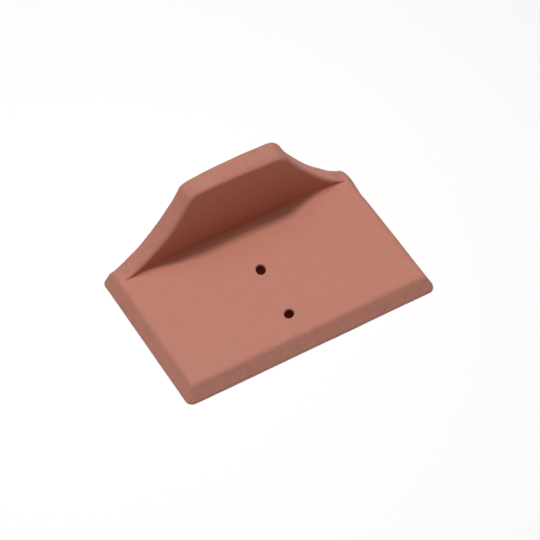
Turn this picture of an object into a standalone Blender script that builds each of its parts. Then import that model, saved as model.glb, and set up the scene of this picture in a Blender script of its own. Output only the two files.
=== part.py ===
"""A terracotta ridge closure tile, lying on its nailing plate.

A flat plate with two nail holes carries an upstand along one long edge. The upstand's outline, a flat
toe between two swept flanks, fills the channel between two rolls of a tiled roof below its ridge.
X runs along the tile, Y from the plate's free edge to the back of the upstand, and Z up.
The origin lies on the ground under the middle of the tile. All sizes are in metres.
"""

import math

import bmesh
import bpy
import numpy as np

# Overall sizes
TILE_LENGTH = 0.210
TILE_DEPTH = 0.131
TILE_HEIGHT = 0.0856
PLATE_THICKNESS = 0.015
UPSTAND_THICKNESS = 0.0163
UPSTAND_LEAN = math.radians(4.0)

# Outline of the upstand, seen from the front: each slope is measured from level
TIP_HALF_WIDTH = 0.0958
TIP_SLOPE = math.radians(16)
SHOULDER_SLOPE = math.radians(40)
TOE_SLOPE = math.radians(64.5)
TIP_RADIUS = 0.020
TOE_CORNER_RADIUS = 0.0115

# Edge of the plate: a rounded foot, an upright land, then a face that slopes in to the top
FOOT_ARRIS = 0.0012
LAND_HEIGHT = 0.002
EDGE_BATTER = math.radians(26)
TOP_ARRIS = 0.0045
FRONT_CORNER_RADIUS = 0.0057
BACK_CORNER_RADIUS = 0.0039

# Rounding of the upstand and of the plate's back edge beside it
UPSTAND_ARRIS = 0.0034
BACK_ARRIS = 0.0078
JUNCTION_FILLET = 0.0052
ARRIS_FADE = 0.010

# Nail holes, a little oval: place along and across the plate from the middle of its free edge, and width
# along and across it
NAIL_HOLES = {
    "near_upstand": (-0.0029, 0.0727, 0.0074, 0.0088),
    "near_edge": (-0.0057, 0.0269, 0.0077, 0.0070),
}

# Fineness of the rounded stretches
CORNER_STEPS = 6
ARRIS_STEPS = 5
SWEEP_STEPS = 10
HOLE_SIDES = 32
STATION_GAP = 0.0003
FILLET_SHARE = 0.35
MERGE_DISTANCE = 0.000001

TERRACOTTA = (0.47, 0.195, 0.144, 1.0)


def clear_scene():
    for old in list(bpy.data.objects):
        bpy.data.objects.remove(old)


def arc_angles(first, last, steps):
    """Evenly spaced angles from first to last, both included."""
    return [first + (last - first) * k / steps for k in range(steps + 1)]


def flank_outline():
    """The upstand's right flank from its tip to the toe, as (half width, height, slope) points.

    It is a tight arc that lifts off the plate, a long shallow sweep, and a rounded corner into the
    level toe. The sweep's radius follows from the height that the other two leave.
    """
    rise = TILE_HEIGHT - PLATE_THICKNESS
    tip_rise = TIP_RADIUS * (math.cos(TIP_SLOPE) - math.cos(SHOULDER_SLOPE))
    corner_rise = TOE_CORNER_RADIUS * (1 - math.cos(TOE_SLOPE))
    sweep_rise = rise - tip_rise - corner_rise
    sweep_radius = sweep_rise / (math.cos(SHOULDER_SLOPE) - math.cos(TOE_SLOPE))
    arcs = (
        (TIP_RADIUS, TIP_SLOPE, SHOULDER_SLOPE),
        (sweep_radius, SHOULDER_SLOPE, TOE_SLOPE),
        (-TOE_CORNER_RADIUS, TOE_SLOPE, 0.0),
    )
    half_width = TIP_HALF_WIDTH
    height = PLATE_THICKNESS
    points = [(half_width, height, TIP_SLOPE)]
    for radius, first, last in arcs:
        start_width = half_width
        start_height = height
        for slope in arc_angles(first, last, SWEEP_STEPS)[1:]:
            half_width = start_width - radius * (math.sin(slope) - math.sin(first))
            height = start_height + radius * (math.cos(first) - math.cos(slope))
            points.append((half_width, height, slope))
    return points


def foot_profile():
    """The plate's rounded foot, as (inset, height) points from the ground up."""
    turns = arc_angles(0, math.pi / 2, ARRIS_STEPS)
    return [(FOOT_ARRIS * (1 - math.sin(turn)), FOOT_ARRIS * (1 - math.cos(turn))) for turn in turns]


def side_profile():
    """The plate's edge above its foot: the land, the sloping face and the top arris."""
    slope_reach = (PLATE_THICKNESS - LAND_HEIGHT) * math.tan(EDGE_BATTER)
    arris_reach = TOP_ARRIS * math.tan((math.pi / 2 - EDGE_BATTER) / 2)
    points = [(0.0, FOOT_ARRIS), (0.0, LAND_HEIGHT)]
    for turn in arc_angles(EDGE_BATTER, math.pi / 2, ARRIS_STEPS):
        inset = slope_reach + arris_reach - TOP_ARRIS * math.cos(turn)
        points.append((inset, PLATE_THICKNESS - TOP_ARRIS * (1 - math.sin(turn))))
    return points


def clipped(profile, limit):
    """The profile with each point past the limit moved back to where the profile crosses it."""
    insets, heights = zip(*sorted(profile))
    crossing = (limit, float(np.interp(limit, insets, heights)))
    return [point if point[0] <= limit else crossing for point in profile]


def lean(height):
    """How far the back stands forward at this height, measured from the top of its foot."""
    return max(0.0, height - FOOT_ARRIS) * math.tan(UPSTAND_LEAN)


def end_stations():
    """Places along the rounded end, from the end face in to just outside the upstand's tip."""
    insets = [inset for inset, _ in foot_profile() + side_profile()]
    for turn in arc_angles(0, math.pi / 2, CORNER_STEPS):
        insets.append(FRONT_CORNER_RADIUS * (1 - math.cos(turn)))
        insets.append(BACK_CORNER_RADIUS * (1 - math.cos(turn)))
    limit = TILE_LENGTH / 2 - TIP_HALF_WIDTH - STATION_GAP
    kept = sorted({round(inset, 6) for inset in insets if inset < limit})
    return [(TILE_LENGTH / 2 - inset, 0.0, 0.0) for inset in kept]


def section(x, crest, slope):
    """The tile's outline in the plane at x, as (y, z) points round from the foot of the free edge."""
    from_end = TILE_LENGTH / 2 - abs(x)
    foot = clipped(foot_profile(), from_end)
    side = clipped(side_profile(), from_end)
    deck = side[-1][1]
    crest = max(crest, deck)
    rise = crest - deck

    def plan(inset, radius):
        """How far a rounded corner leaves the outline inside the plate's straight edge, at this inset."""
        if inset >= radius:
            return inset
        into_corner = max(0.0, radius - from_end)
        return radius - math.sqrt(max(0.0, (radius - inset) ** 2 - into_corner**2))

    def front(height):
        return TILE_DEPTH - UPSTAND_THICKNESS - lean(height)

    def back(inset, height):
        return TILE_DEPTH - plan(inset, BACK_CORNER_RADIUS) - lean(height)

    points = [(plan(inset, FRONT_CORNER_RADIUS), height) for inset, height in foot + side]

    fillet = min(JUNCTION_FILLET, FILLET_SHARE * rise)
    for turn in arc_angles(0, math.pi / 2, ARRIS_STEPS):
        height = deck + fillet * (1 - math.cos(turn))
        points.append((front(height) - fillet * (1 - math.sin(turn)), height))

    arris_height = min(UPSTAND_ARRIS / math.cos(slope), rise / 2)
    arris_depth = arris_height * math.cos(slope)
    for turn in arc_angles(0, math.pi / 2, ARRIS_STEPS):
        height = crest - arris_height * (1 - math.sin(turn))
        points.append((front(height) + arris_depth * (1 - math.cos(turn)), height))

    fade = min(1.0, rise / ARRIS_FADE)
    back_depth = BACK_ARRIS + (UPSTAND_ARRIS - BACK_ARRIS) * fade
    back_height = min(back_depth / math.cos(slope * fade), crest - side[0][1])
    for turn in arc_angles(math.pi / 2, 0, ARRIS_STEPS):
        height = crest - back_height * (1 - math.sin(turn))
        points.append((back(back_depth * (1 - math.cos(turn)), height), height))
    points += [(back(inset, height), height) for inset, height in reversed(foot)]
    return points


def tile_mesh():
    """The plate and its upstand as one skin: sections in a row along the tile, with flat ends."""
    right_half = end_stations() + flank_outline()
    stations = [(-x, crest, slope) for x, crest, slope in right_half] + right_half[::-1]
    mesh = bmesh.new()
    rings = []
    for x, crest, slope in stations:
        outline = section(x, crest, slope)
        rings.append([mesh.verts.new((x, y - TILE_DEPTH / 2, z)) for y, z in outline])
    count = len(rings[0])
    for ring, following in zip(rings, rings[1:]):
        for k in range(count):
            after = (k + 1) % count
            mesh.faces.new((ring[k], following[k], following[after], ring[after]))
    mesh.faces.new(rings[0])
    mesh.faces.new(rings[-1])
    bmesh.ops.remove_doubles(mesh, verts=mesh.verts, dist=MERGE_DISTANCE)
    bmesh.ops.dissolve_degenerate(mesh, edges=mesh.edges, dist=MERGE_DISTANCE)
    bmesh.ops.recalc_face_normals(mesh, faces=mesh.faces)
    return mesh


def new_object(name, mesh):
    data = bpy.data.meshes.new(name)
    mesh.to_mesh(data)
    mesh.free()
    made = bpy.data.objects.new(name, data)
    bpy.context.scene.collection.objects.link(made)
    return made


def pierce_nail_hole(tile, name, along, across, width_along, width_across):
    """Cuts one straight oval nail hole down through the plate."""
    mesh = bmesh.new()
    bmesh.ops.create_cone(
        mesh,
        cap_ends=True,
        segments=HOLE_SIDES,
        radius1=width_along / 2,
        radius2=width_along / 2,
        depth=3 * PLATE_THICKNESS,
    )
    bmesh.ops.scale(mesh, vec=(1.0, width_across / width_along, 1.0), verts=mesh.verts)
    cutter = new_object("nail_cutter_" + name, mesh)
    cutter.location = (along, across - TILE_DEPTH / 2, PLATE_THICKNESS / 2)
    cutter.hide_render = True
    cutter.display_type = "WIRE"
    cut = tile.modifiers.new("nail_hole_" + name, "BOOLEAN")
    cut.operation = "DIFFERENCE"
    cut.solver = "EXACT"
    cut.object = cutter


def terracotta_material():
    material = bpy.data.materials.new("terracotta")
    material.use_nodes = True
    shader = material.node_tree.nodes["Principled BSDF"]
    shader.inputs["Base Color"].default_value = TERRACOTTA
    shader.inputs["Roughness"].default_value = 0.85
    shader.inputs["Metallic"].default_value = 0.0
    material.diffuse_color = TERRACOTTA
    return material


def build():
    clear_scene()
    tile = new_object("ridge_closure_tile", tile_mesh())
    tile.data.materials.append(terracotta_material())
    for name, place_and_widths in NAIL_HOLES.items():
        pierce_nail_hole(tile, name, *place_and_widths)
    tile.data.shade_smooth()
    tile.data.set_sharp_from_angle(angle=math.radians(35))


build()
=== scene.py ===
"""A terracotta ridge closure tile on a pale floor, as a small Blender add-on.

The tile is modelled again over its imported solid, finely enough to carry the marks of hand moulding:
softened arrises, surfaces that aren't quite flat, nail holes with a pushed-up rim, and edges left rough
by the cutting wire. X runs along the tile, Y from the plate's free edge to the back of the upstand, and
Z up. Sizes are in metres, except where a name or a comment gives another unit.
"""

import math

import bmesh
import bpy
import numpy as np
from bpy.props import FloatProperty, FloatVectorProperty, PointerProperty
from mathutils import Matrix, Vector, noise


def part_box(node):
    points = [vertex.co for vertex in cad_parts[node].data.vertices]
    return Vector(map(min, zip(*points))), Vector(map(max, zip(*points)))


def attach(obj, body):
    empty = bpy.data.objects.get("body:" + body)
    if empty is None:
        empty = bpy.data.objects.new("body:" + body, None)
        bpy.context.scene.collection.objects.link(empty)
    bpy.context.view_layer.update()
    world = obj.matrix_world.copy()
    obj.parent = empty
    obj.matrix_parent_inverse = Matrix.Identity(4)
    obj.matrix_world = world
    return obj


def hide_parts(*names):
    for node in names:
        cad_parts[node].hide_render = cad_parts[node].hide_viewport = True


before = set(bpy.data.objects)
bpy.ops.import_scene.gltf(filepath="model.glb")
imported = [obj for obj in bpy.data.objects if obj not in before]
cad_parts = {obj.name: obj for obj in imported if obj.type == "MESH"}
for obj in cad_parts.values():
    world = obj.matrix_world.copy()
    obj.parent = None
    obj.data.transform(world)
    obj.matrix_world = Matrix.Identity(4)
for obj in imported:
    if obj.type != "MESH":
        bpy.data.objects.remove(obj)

bl_info = {
    "name": "Ridge Closure Tile",
    "version": (1, 0, 0),
    "blender": (4, 5, 0),
    "location": "3D View > Sidebar > Ridge Tile",
    "description": "Models a hand-moulded terracotta ridge closure tile and a plain studio around it",
    "category": "Add Mesh",
}

NODE = "ridge_closure_tile"

MM_PER_METRE = 1000.0

# Where the upstand is low: the rise over which the back edge's rounding narrows to the upstand's own, and
# the share of the rise that the fillet in the crease may take up
ARRIS_FADE = 0.010
FILLET_SHARE = 0.35

# Nail holes, oval as they were pierced: place along and across the plate from the middle of its free edge,
# least and greatest width, and direction of the greatest width in degrees from +X
NAIL_HOLES = {
    "near_upstand": (-0.0029, 0.0725, 0.0070, 0.0093, 68),
    "near_edge": (-0.0057, 0.0267, 0.0068, 0.0084, 41),
}

# Places where the moulded clay strays from the plain form, in millimetres from the middle of the tile's
# underside: the middle of each, how far it reaches along X, Y and Z, and how far it moves the clay
SOFT_SPOTS = {
    "toe crowned": ((14, 56, 86), (22, 14, 14), (0.0, 0.35, 0.55)),
    "toe thicker to the right": ((27, 43, 84), (22, 8, 12), (0.0, -1.0, -1.0)),
    "toe's front edge low": ((-2, 43, 85), (36, 7, 8), (0.0, 0.1, -1.1)),
    "toe's right corner blunted": ((39, 42, 82), (7, 8, 9), (-0.4, -0.4, -1.4)),
    "toe's left end dropped": ((-33, 56, 84), (11, 14, 12), (0.5, -0.3, -1.0)),
    "toe's left corner full": ((-41.5, 57, 80), (5, 14, 7), (-0.5, 0.3, 0.3)),
    "left flank slumped": ((-78, 54, 34), (24, 26, 20), (0.8, 0.0, -1.0)),
    "left flank thicker in front": ((-56, 45, 52), (17, 8, 20), (0.0, -1.2, 0.0)),
    "left flank thinner behind": ((-78, 62, 28), (9, 9, 12), (0.1, -0.7, -0.1)),
    "left flank's middle hollow": ((-66, 54, 50), (14, 26, 16), (0.3, 0.0, -0.4)),
    "left tip full": ((-92, 62, 17), (3.5, 8, 8), (0.0, 0.4, 0.0)),
    "left tip's back edge worn": ((-97.5, 62, 13), (3, 8, 8), (0.0, -0.5, -0.1)),
    "back left corner full": ((-102, 61, 9), (4, 8, 10), (-0.3, 0.3, 0.0)),
    "right flank's shoulder thinner": ((49, 59, 66), (8, 8, 10), (-0.5, 0.0, 0.0)),
    "right flank thinner behind": ((72, 61, 34), (22, 8, 16), (-0.2, -0.75, -0.3)),
    "right flank thinner in front": ((66, 45, 42), (22, 8, 18), (0.3, 1.3, 0.1)),
    "right flank's foot worn": ((85, 61, 21), (6, 9, 8), (0.0, -0.5, -0.4)),
    "right tip's back edge worn": ((99.5, 63, 13), (6.5, 9, 10), (0.0, -1.0, -0.95)),
    "back right corner full": ((103, 57, 8), (8, 8, 14), (1.1, 0.0, 0.0)),
    "right edge dented": ((104, 38, 6), (10, 6, 14), (-0.6, 0.0, 0.0)),
}

# Fineness of the mesh, and the tolerances it is made with
STATION_SPACING = 0.0012
LEAST_SPACING = STATION_SPACING / 6
LEAST_ARC_STEPS = 4
FOOT_STEPS = 3
EDGE_STEPS = 10
TOP_ARRIS_STEPS = 5
CORNER_STEPS = 8
FILLET_STEPS = 6
UPSTAND_ARRIS_STEPS = 4
BACK_ARRIS_STEPS = 6
DECK_STEPS = 86
FACE_STEPS = 50
TOP_STEPS = 11
BACK_STEPS = 48
UNDERSIDE_STEPS = 60
HOLE_SIDES = 40
MOUTH_STEPS = 5
BORE_STEPS = 8
CUTTER_OVERREACH = 0.004
MERGE_DISTANCE = 0.00004
SHARP_ANGLE = math.radians(40)

# Where the painted shade on the upstand's front face ends, a deeper, redder colour that stands in for the
# shade on the face
# and in the crease in front of it: how far it fades out over the deck, which is the plate's top, inside the
# tips and below the deck, and the share of the upstand's arris that still has it
PAINTED_SHADE_REACH = 0.004
PAINTED_SHADE_TIP_FADE = 0.014
PAINTED_SHADE_DECK_FADE = (0.002, 0.0005)
PAINTED_SHADE_ARRIS_SHARE = 0.3

# Where the cut edges give way: by distance inside the plate's edge, above the ground and above the deck
CUT_EDGE_BAND = (0.006, 0.0105)
CUT_GROUND_FADE = 0.0005
CUT_DECK_FADE = 0.002

# The toe's colour, by distance below the tile's top, and the right flank's painted light, a paler colour
# that stands in for the light falling on it, by distance above the deck and along X, where it comes in
# beside the toe and goes out towards the tip
TOE_FADE = (0.014, 0.003)
FLANK_LIGHT_DECK_FADE = 0.006
FLANK_LIGHT_IN = (0.036, 0.046)
FLANK_LIGHT_OUT = (0.094, 0.082)

# The painted shade in a nail hole, a dark colour that stands in for the shade inside it: how far outside the
# plain bore it still lies, and the depth where it is full
BORE_SLACK = 0.0006
BORE_FADE = 0.0025

# Where the hand's marks die out, round the crease and near the ground, which the soft spots keep level too
CREASE_REACH = 0.0015
WAVE_GROUND_FADE = 0.003
SPOT_GROUND_FADE = 0.004

# The Z of a normal at which a face begins to count as level, and so to carry a nail hole's rim, and at
# which it does so fully
LEVEL_BAND = (0.7, 0.95)

# The ripples of a cut, drawn out along the tile, and where in its width a hole's rim is highest
RIPPLE_STRETCH = (0.4, 1.0, 1.0)
RIM_MIDDLE = 0.5

# How far apart in the noise two patterns lie whose seeds are next to each other
SEED_STEP = (3.7, 1.9, 5.3)

# The share of a grain's radius within which it is whole, and how far the clay's roughness varies with grain
GRAIN_CORE = 0.6
ROUGHNESS_SPREAD = 0.06

# The studio
FLOOR_WIDTH = 12.0
FLOOR_ROUGHNESS = 0.9
FLOOR_GLOSS = 0.2
SKY_COLOUR = (1.0, 1.0, 1.0, 1.0)
SENSOR_WIDTH_MM = 36.0


class ClosureTileSizes(bpy.types.PropertyGroup):
    """Sizes of the tile. Its length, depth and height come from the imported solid."""

    plate_thickness: FloatProperty(
        name="Plate thickness", description="Thickness of the plate", default=0.015, unit="LENGTH"
    )
    upstand_thickness: FloatProperty(
        name="Upstand thickness",
        description="Thickness of the upstand",
        default=0.0163,
        unit="LENGTH",
    )
    upstand_lean: FloatProperty(
        name="Upstand lean",
        description="How far the upstand leans over the plate",
        default=math.radians(4.0),
        subtype="ANGLE",
    )
    tip_half_width: FloatProperty(
        name="Tip half width",
        description="Distance from the middle to where a flank meets the plate",
        default=0.0958,
        unit="LENGTH",
    )
    tip_slope: FloatProperty(
        name="Tip slope",
        description="Slope of a flank where it leaves the plate",
        default=math.radians(16),
        subtype="ANGLE",
    )
    shoulder_slope: FloatProperty(
        name="Shoulder slope",
        description="Slope of a flank where its tight arc meets its long sweep",
        default=math.radians(40),
        subtype="ANGLE",
    )
    toe_slope: FloatProperty(
        name="Toe slope",
        description="Slope of a flank just below the toe",
        default=math.radians(64.5),
        subtype="ANGLE",
    )
    tip_radius: FloatProperty(
        name="Tip radius", description="Radius of a flank's tight arc", default=0.020, unit="LENGTH"
    )
    toe_corner_radius: FloatProperty(
        name="Toe corner radius",
        description="Radius of the toe's corners",
        default=0.0115,
        unit="LENGTH",
    )
    foot_arris: FloatProperty(
        name="Foot arris",
        description="Radius at the foot of the plate's edge",
        default=0.0012,
        unit="LENGTH",
    )
    land_height: FloatProperty(
        name="Land height", description="Top of the edge's upright part", default=0.002, unit="LENGTH"
    )
    edge_batter: FloatProperty(
        name="Edge batter",
        description="Angle between upright and the plate's sloping edge",
        default=math.radians(26),
        subtype="ANGLE",
    )
    top_arris: FloatProperty(
        name="Top arris",
        description="Radius along the top of the plate's edge",
        default=0.0045,
        unit="LENGTH",
    )
    front_corner_radius: FloatProperty(
        name="Front corner radius",
        description="Radius of the plate's corners at its free edge",
        default=0.0057,
        unit="LENGTH",
    )
    back_corner_radius: FloatProperty(
        name="Back corner radius",
        description="Radius of the plate's corners beside the upstand",
        default=0.0039,
        unit="LENGTH",
    )
    upstand_arris: FloatProperty(
        name="Upstand arris",
        description="Radius along the upstand's edges",
        default=0.0034,
        unit="LENGTH",
    )
    back_arris: FloatProperty(
        name="Back arris",
        description="Radius of the back edge beside the upstand",
        default=0.0078,
        unit="LENGTH",
    )
    junction_fillet: FloatProperty(
        name="Junction fillet",
        description="Radius where the upstand meets the plate",
        default=0.0052,
        unit="LENGTH",
    )
    nail_hole_flare: FloatProperty(
        name="Nail hole flare",
        description="How far the mouth of a nail hole is rounded over",
        default=0.0013,
        unit="LENGTH",
    )


class HandWork(bpy.types.PropertyGroup):
    """How far the maker's hand shows in the form."""

    wave_height: FloatProperty(
        name="Wave height",
        description="Height of the broad waves in every face",
        default=0.00022,
        unit="LENGTH",
    )
    wave_length: FloatProperty(
        name="Wave length",
        description="Distance between the broad waves",
        default=0.038,
        unit="LENGTH",
    )
    dab_height: FloatProperty(
        name="Dab height",
        description="Height of the small lumps in every face",
        default=0.00006,
        unit="LENGTH",
    )
    dab_length: FloatProperty(
        name="Dab length", description="Distance between the small lumps", default=0.009, unit="LENGTH"
    )
    cut_height: FloatProperty(
        name="Cut height",
        description="Height of the ripples on the cut edges",
        default=0.00014,
        unit="LENGTH",
    )
    cut_length: FloatProperty(
        name="Cut length",
        description="Distance between the ripples on the cut edges",
        default=0.0055,
        unit="LENGTH",
    )
    rim_height: FloatProperty(
        name="Rim height",
        description="Height of the clay pushed up round a nail hole",
        default=0.00025,
        unit="LENGTH",
    )
    rim_width: FloatProperty(
        name="Rim width",
        description="Width of the clay pushed up round a nail hole",
        default=0.0016,
        unit="LENGTH",
    )


class ClayLook(bpy.types.PropertyGroup):
    """Colours and surface of the fired clay."""

    body_colour: FloatVectorProperty(
        name="Body",
        description="Main colour of the clay",
        default=(0.472, 0.195, 0.144),
        subtype="COLOR",
        size=3,
    )
    warm_body: FloatVectorProperty(
        name="Warm body",
        description="Colour of the more orange patches",
        default=(0.482, 0.195, 0.136),
        subtype="COLOR",
        size=3,
    )
    pink_tint: FloatVectorProperty(
        name="Pink tint",
        description="Tint of the pinker patches",
        default=(1.0, 0.955, 1.02),
        size=3,
    )
    # Painted shade: this tint deepens and reddens the upstand's front face and the crease in front of it,
    # standing in for their shade.
    painted_face_shade_tint: FloatVectorProperty(
        name="Sheltered tint",
        description="Tint of the clay that hasn't weathered",
        default=(1.03, 0.86, 0.72),
        size=3,
    )
    toe_tint: FloatVectorProperty(
        name="Toe tint", description="Tint of the cut toe", default=(0.92, 0.93, 0.93), size=3
    )
    # Painted light: this tint pales the right flank to stand in for the light falling on it.
    painted_flank_light_tint: FloatVectorProperty(
        name="Pale tint",
        description="Tint of the paler right flank",
        default=(1.2, 1.22, 1.22),
        size=3,
    )
    stain_tint: FloatVectorProperty(
        name="Stain tint",
        description="Tint of the stains on the cut edges",
        default=(0.87, 0.91, 0.96),
        size=3,
    )
    # Painted shade: a dark colour in the nail holes' bores that stands in for the shade inside them.
    painted_bore_shade_colour: FloatVectorProperty(
        name="Bore",
        description="Colour of the dirt in the nail holes",
        default=(0.22, 0.019, 0.007),
        subtype="COLOR",
        size=3,
    )
    fleck_colour: FloatVectorProperty(
        name="Flecks",
        description="Colour of the dark flecks",
        default=(0.13, 0.07, 0.06),
        subtype="COLOR",
        size=3,
    )
    grit_colour: FloatVectorProperty(
        name="Grit",
        description="Colour of the pale grit",
        default=(0.66, 0.42, 0.33),
        subtype="COLOR",
        size=3,
    )
    fleck_cover: FloatProperty(
        name="Fleck cover",
        description="How fully the flecks hide the clay under them",
        default=0.55,
        min=0.0,
        max=1.0,
        subtype="FACTOR",
    )
    grit_cover: FloatProperty(
        name="Grit cover",
        description="How fully the grit hides the clay under it",
        default=0.45,
        min=0.0,
        max=1.0,
        subtype="FACTOR",
    )
    roughness: FloatProperty(
        name="Roughness",
        description="Roughness of the clay",
        default=0.86,
        min=0.0,
        max=1.0,
        subtype="FACTOR",
    )
    gloss: FloatProperty(
        name="Gloss",
        description="Specular level of the clay",
        default=0.3,
        min=0.0,
        max=1.0,
        subtype="FACTOR",
    )


class StudioLook(bpy.types.PropertyGroup):
    """Camera, light and floor."""

    camera_azimuth: FloatProperty(
        name="Camera azimuth",
        description="Direction of view, turned from straight ahead towards the right",
        default=math.radians(30.41),
        subtype="ANGLE",
    )
    camera_elevation: FloatProperty(
        name="Camera elevation",
        description="Height of the camera above the horizon",
        default=math.radians(51.95),
        subtype="ANGLE",
    )
    camera_distance: FloatProperty(
        name="Camera distance",
        description="Distance from the camera to the point it aims at",
        default=2.1006,
        unit="LENGTH",
    )
    camera_aim: FloatVectorProperty(
        name="Camera aim",
        description="Point on the floor that the camera aims at",
        default=(0.0085, 0.0130, 0.0),
        subtype="TRANSLATION",
        size=3,
    )
    lens: FloatProperty(
        name="Lens",
        description="Focal length in millimetres on a 36 mm sensor",
        default=187.56,
        unit="CAMERA",
    )
    sky_strength: FloatProperty(
        name="Sky strength", description="Strength of the even light", default=0.108
    )
    lamp_height: FloatProperty(
        name="Lamp height",
        description="Distance from the tile to the lamps overhead",
        default=2.0,
        unit="LENGTH",
    )
    key_power: FloatProperty(
        name="Key power", description="Power of the small lamp in watts", default=23.8, unit="POWER"
    )
    key_size: FloatProperty(
        name="Key size", description="Width of the small lamp", default=0.26, unit="LENGTH"
    )
    key_lean_back: FloatProperty(
        name="Key lean back",
        description="How far the small lamp stands behind the point straight overhead",
        default=math.radians(3.6),
        subtype="ANGLE",
    )
    key_lean_left: FloatProperty(
        name="Key lean left",
        description="How far the small lamp stands left of the point straight overhead",
        default=math.radians(4.0),
        subtype="ANGLE",
    )
    soft_power: FloatProperty(
        name="Soft power", description="Power of the broad lamp in watts", default=18.3, unit="POWER"
    )
    soft_size: FloatProperty(
        name="Soft size", description="Width of the broad lamp", default=2.2, unit="LENGTH"
    )
    soft_lean_back: FloatProperty(
        name="Soft lean back",
        description="How far the broad lamp stands behind the point straight overhead",
        default=0.0,
        subtype="ANGLE",
    )
    soft_lean_left: FloatProperty(
        name="Soft lean left",
        description="How far the broad lamp stands left of the point straight overhead",
        default=math.radians(6.0),
        subtype="ANGLE",
    )
    floor_colour: FloatVectorProperty(
        name="Floor",
        description="Colour of the floor",
        default=(0.95, 0.95, 0.95),
        subtype="COLOR",
        size=3,
    )


def spread(first, last, steps):
    """Evenly spaced values from first to last, both included."""
    return np.linspace(first, last, steps + 1)


def between(first, last, steps):
    """Evenly spaced points on the line from first to last, both included."""
    return [
        (first[0] + share * (last[0] - first[0]), first[1] + share * (last[1] - first[1]))
        for share in spread(0, 1, steps)
    ]


def quarter_round(fall, rise, steps):
    """A quarter turn as pairs: the first falls from its full size to 0 while the second rises from 0."""
    turns = spread(0, math.pi / 2, steps)
    return [(fall * (1 - math.sin(turn)), rise * (1 - math.cos(turn))) for turn in turns]


def clipped(profile, limit):
    """The profile with each point past the limit moved back to where the profile crosses it."""
    insets, heights = zip(*sorted(profile))
    crossing = (limit, float(np.interp(limit, insets, heights)))
    return [point if point[0] <= limit else crossing for point in profile]


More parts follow.
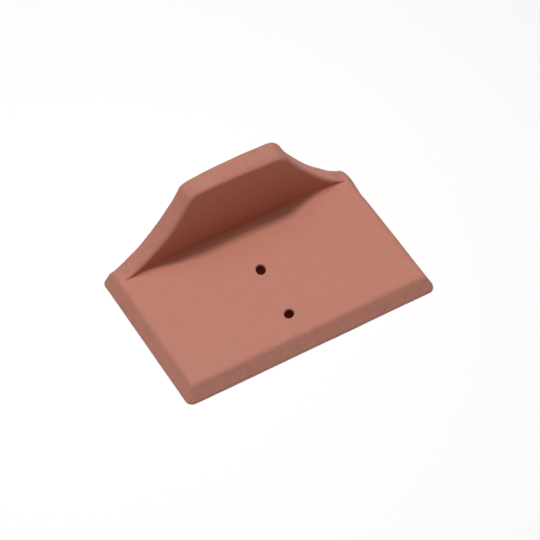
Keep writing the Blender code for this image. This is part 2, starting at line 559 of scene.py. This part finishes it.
class Outline:
    """The tile's form, worked out from its sizes: the flanks' height and its section at any place."""

    def __init__(self, sizes, length, depth, height):
        self.sizes = sizes
        self.length = length
        self.depth = depth
        self.height = height
        self.foot = quarter_round(sizes.foot_arris, sizes.foot_arris, FOOT_STEPS)
        self.side = self.side_profile()

    def side_profile(self):
        """The plate's edge above its foot, as (inset, height) points: land, sloping face and top arris."""
        sizes = self.sizes
        batter = sizes.edge_batter
        slope_reach = (sizes.plate_thickness - sizes.land_height) * math.tan(batter)
        arris_reach = sizes.top_arris * math.tan((math.pi / 2 - batter) / 2)
        arris = []
        for turn in spread(batter, math.pi / 2, TOP_ARRIS_STEPS):
            inset = slope_reach + arris_reach - sizes.top_arris * math.cos(turn)
            arris.append((inset, sizes.plate_thickness - sizes.top_arris * (1 - math.sin(turn))))
        slope = between((0.0, sizes.land_height), arris[0], EDGE_STEPS)
        return [(0.0, sizes.foot_arris)] + slope + arris[1:]

    def flank(self):
        """The right flank from its tip to the middle of the toe, as rows of half width, height and slope."""
        sizes = self.sizes
        rise = self.height - sizes.plate_thickness
        tip_rise = sizes.tip_radius * (math.cos(sizes.tip_slope) - math.cos(sizes.shoulder_slope))
        corner_rise = sizes.toe_corner_radius * (1 - math.cos(sizes.toe_slope))
        sweep_rise = rise - tip_rise - corner_rise
        sweep_radius = sweep_rise / (math.cos(sizes.shoulder_slope) - math.cos(sizes.toe_slope))
        arcs = (
            (sizes.tip_radius, sizes.tip_slope, sizes.shoulder_slope),
            (sweep_radius, sizes.shoulder_slope, sizes.toe_slope),
            (-sizes.toe_corner_radius, sizes.toe_slope, 0.0),
        )
        rows = [(sizes.tip_half_width, sizes.plate_thickness, sizes.tip_slope)]
        for radius, first, last in arcs:
            start_width, start_height, _ = rows[-1]
            steps = max(LEAST_ARC_STEPS, round(abs(radius * (last - first)) / STATION_SPACING))
            for slope in spread(first, last, steps)[1:]:
                width = start_width - radius * (math.sin(slope) - math.sin(first))
                height = start_height + radius * (math.cos(first) - math.cos(slope))
                rows.append((width, height, slope))
        toe = rows[-1][0]
        steps = round(toe / STATION_SPACING)
        rows += [(width, self.height, 0.0) for width in spread(toe, 0.0, steps)[1:]]
        return rows

    def end_rows(self):
        """Rows like the flank's, for the bare plate from its end face in to near the upstand's tip."""
        sizes = self.sizes
        insets = [inset for inset, _ in self.foot + self.side]
        for radius in (sizes.front_corner_radius, sizes.back_corner_radius):
            insets += [inset for _, inset in quarter_round(radius, radius, CORNER_STEPS)]
        limit = self.length / 2 - sizes.tip_half_width - STATION_SPACING / 2
        kept = [0.0]
        for inset in sorted(insets):
            if inset - kept[-1] > LEAST_SPACING and inset < limit:
                kept.append(inset)
        return [(self.length / 2 - inset, 0.0, 0.0) for inset in kept]

    def lean(self, height):
        """How far the back stands forward at this height, measured from the top of its foot."""
        return np.maximum(0.0, height - self.sizes.foot_arris) * math.tan(self.sizes.upstand_lean)

    def front(self, height):
        """Where the upstand's front face stands at this height."""
        return self.depth - self.sizes.upstand_thickness - self.lean(height)

    def section(self, x, crest, slope):
        """The outline in the plane at x, as (y, z) points round from the foot of the free edge."""
        sizes = self.sizes
        from_end = self.length / 2 - abs(x)
        foot = clipped(self.foot, from_end)
        side = clipped(self.side, from_end)
        deck = side[-1][1]
        crest = max(crest, deck)
        rise = crest - deck

        def plan(inset, radius):
            """How far in from the plate's straight edge this inset lies where its corner is rounded."""
            if inset >= radius:
                return inset
            into_corner = max(0.0, radius - from_end)
            return radius - math.sqrt(max(0.0, (radius - inset) ** 2 - into_corner**2))

        def back(inset, height):
            return self.depth - plan(inset, sizes.back_corner_radius) - self.lean(height)

        edge = [(plan(inset, sizes.front_corner_radius), height) for inset, height in foot + side]

        fillet = min(sizes.junction_fillet, rise * FILLET_SHARE)
        turns = quarter_round(fillet, fillet, FILLET_STEPS)
        crease = [(self.front(deck + up) - out, deck + up) for out, up in turns]

        arris_height = min(sizes.upstand_arris / math.cos(slope), rise / 2)
        turns = quarter_round(arris_height, arris_height * math.cos(slope), UPSTAND_ARRIS_STEPS)
        front_arris = [(self.front(crest - down) + into, crest - down) for down, into in turns]

        fade = min(1.0, rise / ARRIS_FADE)
        back_depth = sizes.back_arris + (sizes.upstand_arris - sizes.back_arris) * fade
        back_height = min(back_depth / math.cos(slope * fade), crest - side[0][1])
        turns = reversed(quarter_round(back_height, back_depth, BACK_ARRIS_STEPS))
        back_arris = [(back(into, crest - down), crest - down) for down, into in turns]

        back_foot = [(back(inset, height), height) for inset, height in reversed(foot)]

        curves = (edge, crease, front_arris, back_arris, back_foot)
        straights = (DECK_STEPS, FACE_STEPS, TOP_STEPS, BACK_STEPS, UNDERSIDE_STEPS)
        points = []
        for curve, following, steps in zip(curves, curves[1:] + curves[:1], straights):
            points += curve + between(curve[-1], following[0], steps)[1:-1]
        return points


def without_slivers(mesh):
    """Merges points that all but touch, and splits faces of many sides into even triangles."""
    bmesh.ops.remove_doubles(mesh, verts=mesh.verts, dist=MERGE_DISTANCE)
    bmesh.ops.dissolve_degenerate(mesh, edges=mesh.edges, dist=MERGE_DISTANCE)
    many_sided = [face for face in mesh.faces if len(face.verts) > 4]
    bmesh.ops.triangulate(mesh, faces=many_sided, ngon_method="BEAUTY")
    bmesh.ops.recalc_face_normals(mesh, faces=mesh.faces)
    return mesh


def skin_through(rings):
    """A closed mesh through rings of points in a row, with flat ends."""
    mesh = bmesh.new()
    rings = [[mesh.verts.new(point) for point in ring] for ring in rings]
    count = len(rings[0])
    for ring, following in zip(rings, rings[1:]):
        for k in range(count):
            after = (k + 1) % count
            mesh.faces.new((ring[k], following[k], following[after], ring[after]))
    mesh.faces.new(rings[0])
    mesh.faces.new(rings[-1])
    return mesh


def tile_skin(outline):
    """The tile's skin, through sections in a row along it."""
    right_half = outline.end_rows() + outline.flank()
    left_half = [(-x, crest, slope) for x, crest, slope in right_half]
    rings = []
    for x, crest, slope in left_half[:-1] + right_half[::-1]:
        rings.append([(x, y - outline.depth / 2, z) for y, z in outline.section(x, crest, slope)])
    return without_slivers(skin_through(rings))


def new_object(name, mesh):
    """An object in the scene with this mesh, whose working copy is freed."""
    data = bpy.data.meshes.new(name)
    mesh.to_mesh(data)
    mesh.free()
    made = bpy.data.objects.new(name, data)
    bpy.context.scene.collection.objects.link(made)
    return made


def nail_cutter(name, sizes, depth):
    """A cutter for one oval nail hole, with a rounded mouth above and below."""
    along, across, least_width, greatest_width, direction = NAIL_HOLES[name]
    long_way = Vector((math.cos(math.radians(direction)), math.sin(math.radians(direction)), 0.0))
    short_way = Vector((-long_way.y, long_way.x, 0.0))
    middle = Vector((along, across - depth / 2, 0.0))
    flare = sizes.nail_hole_flare
    top = sizes.plate_thickness
    upper_mouth = [(out, top - down) for out, down in quarter_round(flare, flare, MOUTH_STEPS)]
    lower_mouth = [(out, top - z) for out, z in reversed(upper_mouth)]
    bore = between(upper_mouth[-1], lower_mouth[0], BORE_STEPS)[1:-1]
    above = (flare, top + CUTTER_OVERREACH)
    below = (flare, -CUTTER_OVERREACH)
    rings = []
    for out, z in [above] + upper_mouth + bore + lower_mouth + [below]:
        ring = []
        for turn in spread(0, 2 * math.pi, HOLE_SIDES)[:-1]:
            place = middle + long_way * (greatest_width / 2 + out) * math.cos(turn)
            place += short_way * (least_width / 2 + out) * math.sin(turn)
            ring.append((place.x, place.y, z))
        rings.append(ring)
    mesh = skin_through(rings)
    bmesh.ops.recalc_face_normals(mesh, faces=mesh.faces)
    return new_object("nail_cutter_" + name, mesh)


def pierce_nail_holes(tile, sizes, depth):
    """Cuts the nail holes through the plate, and applies the cuts."""
    for name in NAIL_HOLES:
        cutter = nail_cutter(name, sizes, depth)
        cut = tile.modifiers.new("nail_hole_" + name, "BOOLEAN")
        cut.operation = "DIFFERENCE"
        cut.solver = "EXACT"
        cut.object = cutter
        with bpy.context.temp_override(object=tile, active_object=tile, selected_objects=[tile]):
            bpy.ops.object.modifier_apply(modifier=cut.name)
        data = cutter.data
        bpy.data.objects.remove(cutter)
        bpy.data.meshes.remove(data)
    mesh = bmesh.new()
    mesh.from_mesh(tile.data)
    without_slivers(mesh).to_mesh(tile.data)
    mesh.free()


def ramp(low, high, values):
    """Goes smoothly from 0 at low to 1 at high."""
    share = np.clip((values - low) / (high - low), 0.0, 1.0)
    return share * share * (3 - 2 * share)


def bore_distance(points, name, depth):
    """How far each point lies outside the nail hole's bore, seen from above."""
    along, across, least_width, greatest_width, direction = NAIL_HOLES[name]
    x = points[:, 0] - along
    y = points[:, 1] - (across - depth / 2)
    turn = math.radians(direction)
    long_way = (x * math.cos(turn) + y * math.sin(turn)) * least_width / greatest_width
    short_way = y * math.cos(turn) - x * math.sin(turn)
    return np.hypot(long_way, short_way) - least_width / 2


def surface_masks(outline, points):
    """How far each point belongs to the surfaces that the clay's material tells apart, from 0 to 1."""
    sizes = outline.sizes
    x, y, z = points.T
    y = y + outline.depth / 2
    top = outline.height
    deck = sizes.plate_thickness
    behind_face = y - outline.front(z)
    past_arris = ramp(0.0, sizes.upstand_arris, behind_face)

    # Painted shade: the upstand's front face and the deck just in front of it, within the tips, are marked
    # for a deeper, redder colour that stands in for their shade.
    out_on_deck = np.exp(np.minimum(0.0, behind_face) / PAINTED_SHADE_REACH)
    below_arris = ramp(PAINTED_SHADE_ARRIS_SHARE * sizes.upstand_arris, 0.0, behind_face)
    within_tips = ramp(sizes.tip_half_width, sizes.tip_half_width - PAINTED_SHADE_TIP_FADE, abs(x))
    above_deck = ramp(deck - PAINTED_SHADE_DECK_FADE[0], deck - PAINTED_SHADE_DECK_FADE[1], z)

    inset = np.minimum(np.minimum(outline.length / 2 - abs(x), y), outline.depth - outline.lean(z) - y)
    cut_side = (1 - ramp(*CUT_EDGE_BAND, inset)) * ramp(0.0, CUT_GROUND_FADE, z)
    cut_upstand = past_arris * ramp(deck, deck + CUT_DECK_FADE, z)

    # How far each point lies in a nail hole's bore, where the colour is darkened as painted shade and the
    # hand's marks are left out.
    bore = np.zeros(len(points))
    for name in NAIL_HOLES:
        inside = bore_distance(points, name, outline.depth) < BORE_SLACK
        bore = np.maximum(bore, inside * ramp(0.0, BORE_FADE, deck - z))

    # Painted light: the right flank, beside the toe and towards its tip, is marked for a paler colour that
    # stands in for the light falling on it.
    flank = past_arris * ramp(deck, deck + FLANK_LIGHT_DECK_FADE, z)
    return {
        "painted_face_shade": out_on_deck * below_arris * within_tips * above_deck,
        "toe": past_arris * ramp(top - TOE_FADE[0], top - TOE_FADE[1], z),
        "cut": np.maximum(cut_side, cut_upstand),
        "bore": bore,
        "right_flank": flank * ramp(*FLANK_LIGHT_IN, x) * ramp(*FLANK_LIGHT_OUT, x),
    }


def away_from_crease(outline, points):
    """0 in the crease's corner, and 1 a few millimetres from it."""
    behind_face = points[:, 1] + outline.depth / 2 - outline.front(points[:, 2])
    above_deck = points[:, 2] - outline.sizes.plate_thickness
    return 1 - np.exp(-((behind_face / CREASE_REACH) ** 2) - (above_deck / CREASE_REACH) ** 2)


def stray(points, length, seed):
    """Smooth noise between about -1 and 1 at each point, with lumps of this length."""
    offset = Vector([seed * step for step in SEED_STEP])
    return np.array([noise.noise(Vector(point) / length + offset) for point in points])


def hand_marks(outline, hand, points, normals, masks):
    """How far each point stands proud of the plain form: waves, lumps, cut ripples and the holes' rims."""
    height = hand.wave_height * stray(points, hand.wave_length, seed=1)
    height += hand.dab_height * stray(points, hand.dab_length, seed=2)
    ripples = stray(points * RIPPLE_STRETCH, hand.cut_length, seed=3)
    height += hand.cut_height * ripples * masks["cut"]
    level = ramp(*LEVEL_BAND, normals[:, 2])
    for name in NAIL_HOLES:
        away = bore_distance(points, name, outline.depth) - outline.sizes.nail_hole_flare
        height += hand.rim_height * np.exp(-((away / hand.rim_width - RIM_MIDDLE) ** 2)) * level
    off_ground = ramp(0.0, WAVE_GROUND_FADE, points[:, 2])
    return height * (1 - masks["bore"]) * away_from_crease(outline, points) * off_ground


def shape_by_hand(tile, outline, hand):
    """Moves the tile's surface from the plain form to the moulded one, and keeps its masks as attributes."""
    mesh = tile.data
    points = np.empty((len(mesh.vertices), 3))
    normals = np.empty_like(points)
    mesh.vertices.foreach_get("co", points.ravel())
    mesh.vertices.foreach_get("normal", normals.ravel())
    masks = surface_masks(outline, points)
    for name, values in masks.items():
        attribute = mesh.attributes.new(name, "FLOAT", "POINT")
        attribute.data.foreach_set("value", values.astype(np.float32))

    moved = points + normals * hand_marks(outline, hand, points, normals, masks)[:, None]
    off_ground = ramp(0.0, SPOT_GROUND_FADE, points[:, 2])
    for middle, reach, shift in SOFT_SPOTS.values():
        far = (points - np.array(middle) / MM_PER_METRE) / (np.array(reach) / MM_PER_METRE)
        weight = np.exp(-(far**2).sum(1))
        weights = np.stack((weight, weight, weight * off_ground), axis=1)
        moved += weights * np.array(shift) / MM_PER_METRE
    mesh.vertices.foreach_set("co", moved.ravel())
    mesh.update()


class MESH_OT_add_closure_tile(bpy.types.Operator):
    """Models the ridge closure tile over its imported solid, with its fired clay"""

    bl_idname = "mesh.add_closure_tile"
    bl_label = "Add Closure Tile"

    def execute(self, context):
        low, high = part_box(NODE)
        size = high - low
        sizes = context.scene.closure_tile_sizes
        outline = Outline(sizes, size.x, size.y, size.z)
        tile = new_object("moulded_tile", tile_skin(outline))
        pierce_nail_holes(tile, sizes, size.y)
        if len(tile.data.polygons) == 0:
            raise RuntimeError("the nail holes left nothing of the tile")
        shape_by_hand(tile, outline, context.scene.hand_work)
        tile.data.shade_smooth()
        tile.data.set_sharp_from_angle(angle=SHARP_ANGLE)
        tile.data.materials.append(clay_material(context.scene.clay_look))
        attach(tile, "root")
        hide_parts(NODE)
        return {"FINISHED"}


class Nodes:
    """Short ways to add the nodes of a material."""

    def __init__(self, material):
        self.tree = material.node_tree
        made = self.tree.nodes.new("ShaderNodeTexCoord")
        self.millimetres = self.stretched(made.outputs["Object"], [MM_PER_METRE] * 3)

    def set(self, socket, value):
        """Links a socket to another, or gives it a value."""
        if isinstance(value, bpy.types.NodeSocket):
            self.tree.links.new(value, socket)
        else:
            socket.default_value = value

    def stretched(self, place, factors):
        """A vector with each of its parts multiplied by its own factor."""
        node = self.tree.nodes.new("ShaderNodeVectorMath")
        node.operation = "MULTIPLY"
        self.set(node.inputs[0], place)
        self.set(node.inputs[1], factors)
        return node.outputs["Vector"]

    def math(self, operation, first, second):
        """Blender's own operation on two numbers."""
        node = self.tree.nodes.new("ShaderNodeMath")
        node.operation = operation
        self.set(node.inputs[0], first)
        self.set(node.inputs[1], second)
        return node.outputs["Value"]

    def mask(self, name):
        """One of the masks kept on the mesh."""
        node = self.tree.nodes.new("ShaderNodeAttribute")
        node.attribute_name = name
        return node.outputs["Fac"]

    def noise(self, length, detail, roughness, stretch=(1.0, 1.0, 1.0)):
        """Noise with lumps of this length in millimetres."""
        node = self.tree.nodes.new("ShaderNodeTexNoise")
        self.set(node.inputs["Vector"], self.stretched(self.millimetres, stretch))
        self.set(node.inputs["Scale"], 1.0 / length)
        self.set(node.inputs["Detail"], detail)
        self.set(node.inputs["Roughness"], roughness)
        return node.outputs["Fac"]

    def grains(self, cell, radius, share):
        """Round grains, 1 inside and 0 outside. A share of the cells, in millimetres, holds one each."""
        node = self.tree.nodes.new("ShaderNodeTexVoronoi")
        self.set(node.inputs["Vector"], self.millimetres)
        self.set(node.inputs["Scale"], 1.0 / cell)
        shape = self.ramp(node.outputs["Distance"], low=radius / cell, high=GRAIN_CORE * radius / cell)
        chance = self.tree.nodes.new("ShaderNodeSeparateColor")
        self.set(chance.inputs["Color"], node.outputs["Color"])
        return self.math("MULTIPLY", shape, self.math("LESS_THAN", chance.outputs["Red"], share))

    def ramp(self, value, low, high, least=0.0, most=1.0):
        """Goes smoothly from least at low to most at high."""
        node = self.tree.nodes.new("ShaderNodeMapRange")
        node.interpolation_type = "SMOOTHSTEP"
        self.set(node.inputs["Value"], value)
        self.set(node.inputs["From Min"], low)
        self.set(node.inputs["From Max"], high)
        self.set(node.inputs["To Min"], least)
        self.set(node.inputs["To Max"], most)
        return node.outputs["Result"]

    def mix(self, factor, first, second, blend="MIX"):
        """Two colours mixed by this factor."""
        node = self.tree.nodes.new("ShaderNodeMix")
        node.data_type = "RGBA"
        node.blend_type = blend
        colours = [socket for socket in node.inputs if socket.type == "RGBA"]
        self.set(node.inputs["Factor"], factor)
        for socket, colour in zip(colours, (first, second)):
            self.set(socket, colour if isinstance(colour, bpy.types.NodeSocket) else (*colour, 1.0))
        return next(socket for socket in node.outputs if socket.type == "RGBA")

    def grey(self, value):
        """A colour whose red, green and blue are all this value."""
        node = self.tree.nodes.new("ShaderNodeCombineColor")
        for name in ("Red", "Green", "Blue"):
            self.set(node.inputs[name], value)
        return node.outputs["Color"]

    def bump(self, height, depth, under=None):
        """Relief of this depth in metres, over other relief where that is given."""
        node = self.tree.nodes.new("ShaderNodeBump")
        self.set(node.inputs["Height"], height)
        self.set(node.inputs["Distance"], depth)
        self.set(node.inputs["Strength"], 1.0)
        if under is not None:
            self.set(node.inputs["Normal"], under)
        return node.outputs["Normal"]


def clay_colour(nodes, look, cut, grain):
    """The clay's colour, from its broadest patches to single grains, with painted shade on the upstand's
    face, in its crease and in the nail holes, and painted light on the right flank.
    """
    orange = nodes.ramp(nodes.noise(length=30.0, detail=3.0, roughness=0.55), low=0.46, high=0.66)
    colour = nodes.mix(orange, look.body_colour, look.warm_body)
    pink = nodes.ramp(nodes.noise(length=15.0, detail=4.0, roughness=0.6), low=0.50, high=0.68)
    colour = nodes.mix(pink, colour, look.pink_tint, "MULTIPLY")
    # Painted shade: the upstand's front face and the crease in front of it are deepened and reddened to
    # stand in for their shade.
    colour = nodes.mix(nodes.mask("painted_face_shade"), colour, look.painted_face_shade_tint, "MULTIPLY")
    colour = nodes.mix(nodes.mask("toe"), colour, look.toe_tint, "MULTIPLY")
    # Painted light: the right flank is paled to stand in for the light falling on it.
    colour = nodes.mix(nodes.mask("right_flank"), colour, look.painted_flank_light_tint, "MULTIPLY")
    stains = nodes.ramp(nodes.noise(length=6.5, detail=5.0, roughness=0.65), low=0.47, high=0.70)
    colour = nodes.mix(nodes.math("MULTIPLY", stains, cut), colour, look.stain_tint, "MULTIPLY")
    shade = nodes.grey(nodes.ramp(grain, low=0.25, high=0.75, least=0.93, most=1.07))
    colour = nodes.mix(1.0, colour, shade, "MULTIPLY")
    flecks = nodes.grains(cell=3.1, radius=0.34, share=0.16)
    colour = nodes.mix(nodes.math("MULTIPLY", flecks, look.fleck_cover), colour, look.fleck_colour)
    grit = nodes.grains(cell=2.3, radius=0.30, share=0.13)
    colour = nodes.mix(nodes.math("MULTIPLY", grit, look.grit_cover), colour, look.grit_colour)
    # Painted shade: the nail holes' bores are darkened to stand in for the shade inside them.
    return nodes.mix(nodes.mask("bore"), colour, look.painted_bore_shade_colour)


def clay_relief(nodes, cut, grain):
    """Fine relief: grain, the drag of a wet hand along the tile, tears in the cut edges, and pits."""
    drag = nodes.noise(length=1.5, detail=3.0, roughness=0.6, stretch=(0.10, 1.0, 1.0))
    tears = nodes.noise(length=2.2, detail=5.0, roughness=0.65)
    pits = nodes.grains(cell=1.9, radius=0.42, share=0.35)
    pit_fall = nodes.ramp(cut, low=0.0, high=1.0, least=-0.25, most=-1.0)
    relief = nodes.bump(grain, depth=0.00005)
    relief = nodes.bump(drag, depth=0.00006, under=relief)
    relief = nodes.bump(nodes.math("MULTIPLY", tears, cut), depth=0.00035, under=relief)
    return nodes.bump(nodes.math("MULTIPLY", pits, pit_fall), depth=0.00022, under=relief)


def clay_material(look):
    """Fired clay: mottled orange and pink, grained, flecked, stained where cut, with painted shade deepening
    the upstand's face and crease.
    """
    material = bpy.data.materials.new("fired_clay")
    material.use_nodes = True
    nodes = Nodes(material)
    cut = nodes.mask("cut")
    grain = nodes.noise(length=0.9, detail=4.0, roughness=0.7)
    smoothest = look.roughness - ROUGHNESS_SPREAD
    roughest = look.roughness + ROUGHNESS_SPREAD
    roughness = nodes.ramp(grain, low=0.3, high=0.7, least=smoothest, most=roughest)
    shader = nodes.tree.nodes["Principled BSDF"]
    nodes.set(shader.inputs["Base Color"], clay_colour(nodes, look, cut, grain))
    nodes.set(shader.inputs["Roughness"], roughness)
    nodes.set(shader.inputs["Specular IOR Level"], look.gloss)
    nodes.set(shader.inputs["Normal"], clay_relief(nodes, cut, grain))
    return material


class SCENE_OT_add_closure_studio(bpy.types.Operator):
    """Sets the floor, the light and the camera around the tile"""

    bl_idname = "scene.add_closure_studio"
    bl_label = "Add Studio"

    def execute(self, context):
        look = context.scene.closure_studio_look
        add_floor(look)
        add_sky(look)
        key_leans = (look.key_lean_back, look.key_lean_left)
        soft_leans = (look.soft_lean_back, look.soft_lean_left)
        add_lamp("key_lamp", look.key_size, look.key_power, look.lamp_height, *key_leans)
        add_lamp("soft_lamp", look.soft_size, look.soft_power, look.lamp_height, *soft_leans)
        add_camera(context.scene, look)
        context.scene.view_settings.view_transform = "Standard"
        context.scene.view_settings.look = "None"
        return {"FINISHED"}


def add_floor(look):
    """A plain painted floor under the tile."""
    bpy.ops.mesh.primitive_plane_add(size=FLOOR_WIDTH, location=(0, 0, 0))
    floor = bpy.context.object
    floor.name = "floor"
    material = bpy.data.materials.new("floor_paint")
    material.use_nodes = True
    shader = material.node_tree.nodes["Principled BSDF"]
    shader.inputs["Base Color"].default_value = (*look.floor_colour, 1.0)
    shader.inputs["Roughness"].default_value = FLOOR_ROUGHNESS
    shader.inputs["Specular IOR Level"].default_value = FLOOR_GLOSS
    floor.data.materials.append(material)


def add_sky(look):
    """Even white light from all around."""
    world = bpy.data.worlds.new("studio_sky")
    world.use_nodes = True
    background = world.node_tree.nodes["Background"]
    background.inputs["Color"].default_value = SKY_COLOUR
    background.inputs["Strength"].default_value = look.sky_strength
    bpy.context.scene.world = world


def add_lamp(name, size, power, height, lean_back, lean_left):
    """A round lamp overhead that aims at the tile."""
    lamp = bpy.data.lights.new(name, "AREA")
    lamp.shape = "DISK"
    lamp.size = size
    lamp.energy = power
    made = bpy.data.objects.new(name, lamp)
    bpy.context.scene.collection.objects.link(made)
    away = Vector((-math.tan(lean_left), math.tan(lean_back), 1.0)).normalized()
    made.location = away * height
    made.rotation_euler = (-away).to_track_quat("-Z", "Y").to_euler()


def add_camera(scene, look):
    """Places the camera at the photograph's angle, with no roll."""
    across = math.cos(look.camera_elevation)
    towards = Vector(
        (
            math.sin(look.camera_azimuth) * across,
            math.cos(look.camera_azimuth) * across,
            -math.sin(look.camera_elevation),
        )
    )
    lens = bpy.data.cameras.new("camera")
    lens.sensor_width = SENSOR_WIDTH_MM
    lens.lens = look.lens
    camera = bpy.data.objects.new("camera", lens)
    scene.collection.objects.link(camera)
    camera.location = Vector(look.camera_aim) - towards * look.camera_distance
    camera.rotation_euler = towards.to_track_quat("-Z", "Y").to_euler()
    scene.camera = camera


class VIEW3D_PT_closure_tile(bpy.types.Panel):
    """Lists the steps and the settings of the ridge closure tile"""

    bl_idname = "VIEW3D_PT_closure_tile"
    bl_label = "Ridge Closure Tile"
    bl_space_type = "VIEW_3D"
    bl_region_type = "UI"
    bl_category = "Ridge Tile"

    def draw(self, context):
        layout = self.layout
        layout.operator(MESH_OT_add_closure_tile.bl_idname)
        layout.operator(SCENE_OT_add_closure_studio.bl_idname)
        for group in ("closure_tile_sizes", "hand_work", "clay_look", "closure_studio_look"):
            settings = getattr(context.scene, group)
            box = layout.box()
            for name in settings.__annotations__:
                box.prop(settings, name)


CLASSES = (
    ClosureTileSizes,
    HandWork,
    ClayLook,
    StudioLook,
    MESH_OT_add_closure_tile,
    SCENE_OT_add_closure_studio,
    VIEW3D_PT_closure_tile,
)


def register():
    for made in CLASSES:
        bpy.utils.register_class(made)
    bpy.types.Scene.closure_tile_sizes = PointerProperty(type=ClosureTileSizes)
    bpy.types.Scene.hand_work = PointerProperty(type=HandWork)
    bpy.types.Scene.clay_look = PointerProperty(type=ClayLook)
    bpy.types.Scene.closure_studio_look = PointerProperty(type=StudioLook)


def unregister():
    del bpy.types.Scene.closure_studio_look
    del bpy.types.Scene.clay_look
    del bpy.types.Scene.hand_work
    del bpy.types.Scene.closure_tile_sizes
    for made in reversed(CLASSES):
        bpy.utils.unregister_class(made)


def main():
    register()
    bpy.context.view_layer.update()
    bpy.ops.mesh.add_closure_tile()
    bpy.ops.scene.add_closure_studio()


if __name__ == "__main__":
    main()
